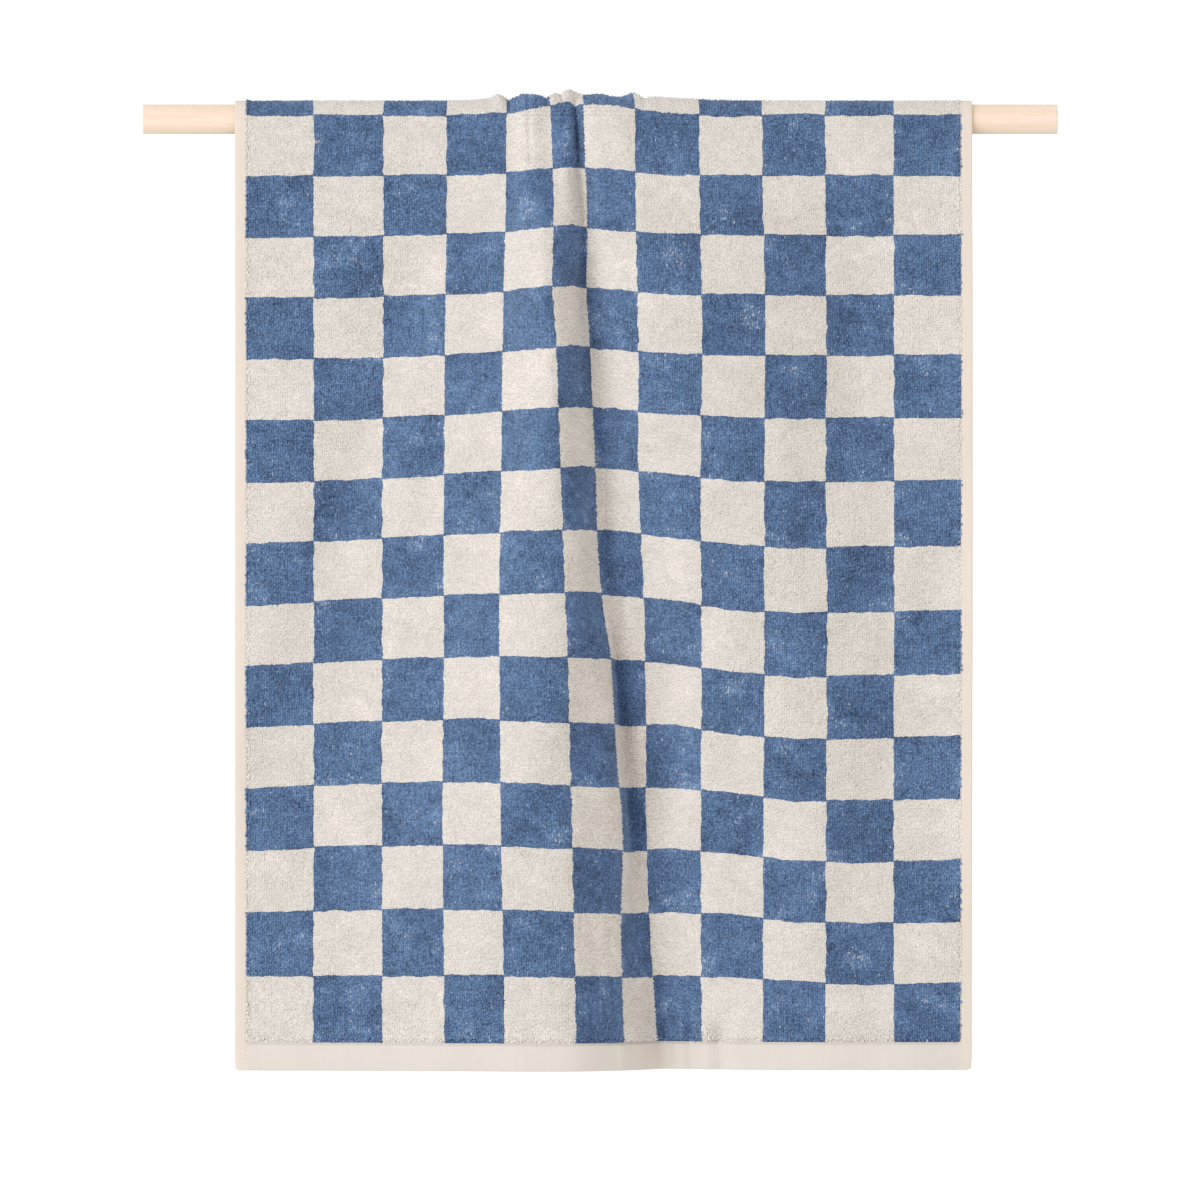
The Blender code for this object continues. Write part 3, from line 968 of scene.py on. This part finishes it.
def buildLoops(name, along, side, material, seed):
    # Each loop is a low three-sided tuft on the ground, turned any way, a little longer down
    # the cloth than across it, its tip leaning and drooping. It takes its colour from where it
    # stands, so the edge of a check is as ragged as the loops are.
    start = cloth["sideHem"] + loops["fromSeam"]
    columns = round((cloth["width"] - 2 * start) / loops["pitchAcross"]) + 1
    across = np.linspace(start, cloth["width"] - start, columns)
    shape = (len(along), len(across))
    draw = np.random.default_rng(seed)

    def wobble(amount):
        # One draw for each loop, even between minus and plus the amount
        return draw.uniform(-amount, amount, shape)[..., None]

    # Three corners on the ground and the tip, as steps across, along and outwards
    turn = draw.uniform(0, 2 * math.pi, shape)[..., None] + np.arange(3) * 2 * math.pi / 3
    size = 1 + wobble(loops["unevenSize"])
    droop = np.where(along > 0, loops["droop"], -loops["droop"])[:, None, None]
    tipAcross = wobble(loops["lean"])
    tipAlong = wobble(loops["lean"]) + droop
    cornerAcross = np.concatenate([np.cos(turn) * loops["halfWidth"] * size, tipAcross], axis=-1)
    cornerAlong = np.concatenate([np.sin(turn) * loops["halfLength"] * size, tipAlong], axis=-1)
    tipLift = loops["height"] * (1 + wobble(loops["unevenHeight"]))
    lift = np.concatenate([np.full((*shape, 3), -loops["sunk"]), tipLift], axis=-1)

    outerColumn = np.minimum(across, cloth["width"] - across) < start + loops["pitchAcross"] / 2
    fromEnds = np.minimum(frontSeam - along, along - backSeam)
    outerRow = fromEnds < loops["pitchAlong"] * loops["spillRows"]
    spillAcross = np.where(outerColumn, loops["spillAcross"], 1.0)[None, :, None]
    spillAlong = np.where(outerRow, loops["spillAlong"], 1.0)[:, None, None]
    standAcross = wobble(loops["jitterAcross"]) * spillAcross
    standAlong = wobble(loops["jitterAlong"]) * spillAlong
    lift = lift + loops["spillLift"] * (outerColumn[None, :] | outerRow[:, None])[..., None]

    points, outward, sideways, lengthwise = clothSurface(across, along)
    tuft = (
        points[:, :, None]
        + outward[:, :, None] * side * (cloth["groundLevel"] + lift)[..., None]
        + sideways[:, :, None] * (standAcross + cornerAcross)[..., None]
        + lengthwise[:, :, None] * (standAlong + cornerAlong)[..., None]
    )
    walls = np.array([(1, 0, 3), (2, 1, 3), (0, 2, 3)])[:, ::side]
    faces = (np.arange(shape[0] * shape[1])[:, None, None] * 4 + walls).reshape(-1, 3)

    offAcross = standAcross + cornerAcross * loops["yarnReach"]
    offAlong = standAlong + cornerAlong * loops["yarnReach"]
    spot = flatPlace(across, along)[:, :, None, :] + np.stack([offAcross, offAlong], axis=-1)
    u = columnsFromLeft(spot[..., 0])
    v = checkPlace(across, along)[..., 1][:, :, None] - offAlong / checkLength
    maps = {
        "flatPlace": spot.reshape(-1, 2),
        "checkPlace": keepInSeams(u, v).reshape(-1, 2),
        "OFBake": bakeCells(shape).reshape(-1, 2),
    }
    return addMesh(name, tuft.reshape(-1, 3), faces, (material,), maps)


def loopRows(fromAlong, toAlong):
    # Rows of loops at an even pitch, a margin clear of both ends
    margin = loops["fromSeam"] + loops["halfLength"] * loops["endMargin"]
    return np.arange(fromAlong + margin, toAlong - margin, loops["pitchAlong"])


pile = []
bands = np.array_split(loopRows(backSeam, frontSeam), loops["bands"])
for i, rows in enumerate(bands):
    pile.append(buildLoops(f"terry_pile_{i + 1}", rows, 1, loopMaterial, loops["seed"] + i))
reverseRows = loopRows(cloth["loopedReverseFrom"], frontSeam)
pile.append(
    buildLoops("terry_pile_reverse", reverseRows, -1, reverseLoopMaterial, loops["reverseSeed"])
)
print("pile:", sum(len(piece.data.polygons) for piece in pile), "faces in", len(pile), "pieces")


# Sewing: seam ticks across each end hem's edge, and a run of stitches down each side hem

stitches = {
    "tick": {"pitch": 0.0013, "length": 0.0022, "thickness": 0.00050, "fromSeam": 0.0009},
    "run": {"pitch": 0.0027, "length": 0.0021, "thickness": 0.00040, "fromSeam": 0.0005},
    "ticksFromSides": 0.001,  # clear of the side seams
    "runsFromEnds": 0.003,  # clear of the cloth's ends
    "besideTicks": 0.001,  # to the rows beside, from which the cloth's directions are known
    "besideRuns": 0.0002,
    "inGroove": 0.6,  # share of the seam groove's depth by which a stitch sits lower
    "proud": 0.00010,
    "points": 6,  # of each stitch
}


def stitchPoints(across, along, side, kind):
    # Six points for each stitch of a grid: two pointed ends, half its length up and down the
    # cloth, and four points round its middle
    points, outward, sideways, lengthwise = clothSurface(across, along)
    outward = outward * side
    sunk = cloth["seamGroove"] * stitches["inGroove"]
    centre = points + outward * (cloth["hemThickness"] / 2 - sunk + stitches["proud"])
    half = lengthwise * kind["length"] / 2
    thick = kind["thickness"] / 2
    corners = [centre - half, centre + half]
    for angle in (np.arange(4) + 0.5) * math.pi / 2:
        corners.append(centre + sideways * thick * math.cos(angle) + outward * thick * math.sin(angle))
    places = np.repeat(flatPlace(across, along)[:, :, None], len(corners), axis=2)
    return np.stack(corners, axis=2), places


def fixWinding(points, faces):
    # Turns each stitch's faces outwards: away from its own centre
    centre = points.reshape(-1, stitches["points"], 3).mean(axis=1)
    a, b, c = (points[faces[:, i]] for i in range(3))
    normal = np.cross(b - a, c - a)
    away = (a + b + c) / 3 - centre[faces[:, 0] // stitches["points"]]
    inwards = np.einsum("ij,ij->i", normal, away) < 0
    faces[inwards] = faces[inwards][:, ::-1]
    return faces


def buildStitches():
    # Both faces of each hem are sewn. A row or column of stitches is asked for with one on
    # either side, so that the cloth's directions are known, and the middle one is kept.
    tick, run = stitches["tick"], stitches["run"]
    three = np.array([-1.0, 0.0, 1.0])
    start = cloth["sideHem"] + stitches["ticksFromSides"]
    columns = np.arange(start, cloth["width"] - start, tick["pitch"])
    clear = stitches["runsFromEnds"]
    rows = np.arange(backEnd + clear, frontEnd - clear, run["pitch"])
    parts = []
    for row in (frontSeam + tick["fromSeam"], backSeam - tick["fromSeam"]):
        for face in (1, -1):
            grid = stitchPoints(columns, row + three * stitches["besideTicks"], face, tick)
            parts.append([part[1] for part in grid])
    for column in (cloth["sideHem"] - run["fromSeam"], rightSeam + run["fromSeam"]):
        for face in (1, -1):
            grid = stitchPoints(column + three * stitches["besideRuns"], rows, face, run)
            parts.append([part[:, 1] for part in grid])
    points = np.concatenate([corners.reshape(-1, 3) for corners, _ in parts])
    places = np.concatenate([place.reshape(-1, 2) for _, place in parts])
    ring = [(2, 3), (3, 4), (4, 5), (5, 2)]
    sides = np.array([(a, b, end) for a, b in ring for end in (0, 1)])
    first = np.arange(0, len(points), stitches["points"])
    faces = fixWinding(points, (first[:, None, None] + sides).reshape(-1, 3))
    return addMesh("hem_stitches", points, faces, (threadMaterial,), {"flatPlace": places})


sewing = buildStitches()
print("stitches:", len(sewing.data.polygons) // 8)


# The bar

def ringWalls(rings, sides):
    # Point numbers of rings that follow each other, and the faces between neighbouring rings
    index = np.arange(rings * sides).reshape(rings, sides)
    beside = np.roll(index, -1, axis=1)
    walls = np.stack([index[:-1], index[1:], beside[1:], beside[:-1]], axis=-1)
    return index, walls.reshape(-1, 4).tolist()


def buildBar():
    # A profile of distance along the bar and radius, turned about the X axis, with a small
    # quarter circle at each end and a flat cut face that closes on the axis
    radius, length, rounding = bar["diameter"] / 2, bar["length"], bar["edgeRounding"]
    turn = np.linspace(0, math.pi / 2, bar["roundingRings"])
    endX = rounding * (1 - np.sin(turn))
    endRadius = radius - rounding + rounding * np.cos(turn)
    faceRadii = np.array([*(radius * share for share in bar["faceRings"]), radius - rounding * 2])
    sideX = np.linspace(rounding * 3, length - rounding * 3, bar["lengthRings"])
    sideRadius = np.full(len(sideX), radius)
    faceX = np.zeros(len(faceRadii))
    profileX = np.concatenate([faceX, endX[::-1], sideX, length - endX, faceX + length])
    radii = [faceRadii, endRadius[::-1], sideRadius, endRadius, faceRadii[::-1]]
    profileRadius = np.concatenate(radii)[:, None]
    angle = np.linspace(0, 2 * math.pi, bar["sides"], endpoint=False)
    x = np.repeat(profileX[:, None], len(angle), axis=1)
    points = np.stack([x, profileRadius * np.sin(angle), profileRadius * np.cos(angle)], axis=-1)
    index, faces = ringWalls(len(profileX), len(angle))
    for ring, pole, order in ((index[0], x.size, (0, 1, 2)), (index[-1], x.size + 1, (1, 0, 2))):
        corners = (ring, np.roll(ring, -1), np.full(len(ring), pole))
        faces += np.stack([corners[i] for i in order], axis=1).tolist()
    poles = [(0.0, 0.0, 0.0), (length, 0.0, 0.0)]
    mesh = bpy.data.meshes.new("beech_bar")
    mesh.from_pydata(points.reshape(-1, 3).tolist() + poles, [], faces)
    mesh.materials.append(beechSideMaterial)
    mesh.materials.append(beechEndMaterial)
    mesh.update()
    facing = np.zeros(len(mesh.polygons) * 3)
    mesh.polygons.foreach_get("normal", facing)
    onEnd = np.abs(facing.reshape(-1, 3)[:, 0]) > bar["endFacing"]
    mesh.polygons.foreach_set("material_index", onEnd.astype(np.int32))
    mesh.shade_smooth()
    return addToScene("beech_bar", mesh)


barPiece = buildBar()
print("bar:", len(barPiece.data.polygons), "faces")


# What stands for what

for piece in [sheet, sewing, *pile]:
    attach(piece, "root")
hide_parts("towel")
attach(barPiece, "root")
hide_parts("bar")


# Floor, light and camera

studio = {
    "floorRadius": 8.5,
    "floorLevel": -1.1,
    "floorRings": 8,
    "floorSides": 128,
    "floorHole": 0.1,  # share of the radius at the innermost ring, which one flat face fills
    "cameraDistance": 8.0,
    "shownField": 0.7284,  # metres from one side of the picture to the other, at the bar
    "pictureCentre": (0.2774, -0.2918),
    "background": 1.2,
    "ambient": 0.88,
    "keyPlace": (-4.6, -5.3, 0.0),
    "keySize": 6.0,
    "keyEnergy": 345.0,
    "sensorWidth": 36.0,  # millimetres
    "farClip": 60.0,
}
paper = {"colour": linear(243, 242, 240), "roughness": 0.9, "specular": 0.2, "unevenness": 0.02}


def buildFloor():
    # A round floor: flat rings from near the middle outwards
    angle = np.linspace(0, 2 * math.pi, studio["floorSides"], endpoint=False)
    radii = np.linspace(studio["floorHole"], 1.0, studio["floorRings"]) * studio["floorRadius"]
    x = radii[:, None] * np.cos(angle) + studio["pictureCentre"][0]
    y = radii[:, None] * np.sin(angle)
    points = np.stack([x, y, np.full(x.shape, studio["floorLevel"])], axis=-1).reshape(-1, 3)
    index, faces = ringWalls(len(radii), len(angle))
    mesh = bpy.data.meshes.new("studio_floor")
    mesh.from_pydata(points.tolist(), [], [*faces, index[0].tolist()])
    material, tree, shader = startMaterial("floor_paper", paper)
    grain = noise(tree, tree.nodes.new("ShaderNodeTexCoord").outputs["Object"], 3.0)
    factor = maths(tree, "MULTIPLY_ADD", grain, paper["unevenness"], 1 - paper["unevenness"] / 2)
    tree.links.new(scaleColour(tree, paper["colour"], factor), shader.inputs["Base Color"])
    mesh.materials.append(material)
    addToScene("studio_floor", mesh)


def buildWorld():
    # White behind the object, and a softer even light from all round
    world = bpy.data.worlds.new("studio")
    world.use_nodes = True
    tree = world.node_tree
    background = tree.nodes["Background"]
    background.inputs["Color"].default_value = (1.0, 1.0, 1.0, 1.0)
    path = tree.nodes.new("ShaderNodeLightPath")
    drop = studio["background"] - studio["ambient"]
    strength = maths(tree, "MULTIPLY_ADD", path.outputs["Is Camera Ray"], drop, studio["ambient"])
    tree.links.new(strength, background.inputs["Strength"])
    bpy.context.scene.world = world


def addKeyLight():
    # A large round soft lamp, turned towards the middle of the picture
    light = bpy.data.lights.new("key_light", "AREA")
    light.shape = "DISK"
    light.size = studio["keySize"]
    light.energy = studio["keyEnergy"]
    lamp = addToScene("key_light", light)
    lamp.location = studio["keyPlace"]
    x, z = studio["pictureCentre"]
    aim = np.array([x, 0.0, z]) - studio["keyPlace"]
    level = math.hypot(aim[0], aim[1])
    lamp.rotation_euler = (math.pi / 2 + math.atan2(aim[2], level), 0, math.atan2(-aim[0], aim[1]))


def addCamera():
    # Straight in front of the picture's middle, with the lens that shows the wanted width
    camera = bpy.data.cameras.new("front_camera")
    camera.sensor_width = studio["sensorWidth"]
    camera.lens = camera.sensor_width * studio["cameraDistance"] / studio["shownField"]
    camera.clip_end = studio["farClip"]
    holder = addToScene("front_camera", camera)
    x, z = studio["pictureCentre"]
    holder.location = (x, -studio["cameraDistance"], z)
    holder.rotation_euler = (math.pi / 2, 0, 0)
    bpy.context.scene.camera = holder


# The picture's tones: linear brightness in, and out; whites are held back and dark tones a
# little deeper, as in a photograph exposed for its white background
tones = (
    (0.05, 0.034), (0.10, 0.083), (0.15, 0.139), (0.20, 0.20), (0.30, 0.315), (0.45, 0.474),
    (0.60, 0.625), (0.70, 0.70), (0.80, 0.772), (0.90, 0.85), (1.0, 0.94),
)
toneEnd = (1.06, 1.0)


def setTones():
    # Standard view, with the tones as the points of its combined curve
    settings = bpy.context.scene.view_settings
    settings.view_transform = "Standard"
    settings.use_curve_mapping = True
    mapping = settings.curve_mapping
    mapping.use_clip = False
    curve = mapping.curves[3]
    curve.points[1].location = toneEnd
    for place in tones:
        curve.points.new(*place)
    mapping.update()


buildFloor()
buildWorld()
addKeyLight()
addCamera()
setTones()
print("studio ready")

bpy.context.view_layer.update()
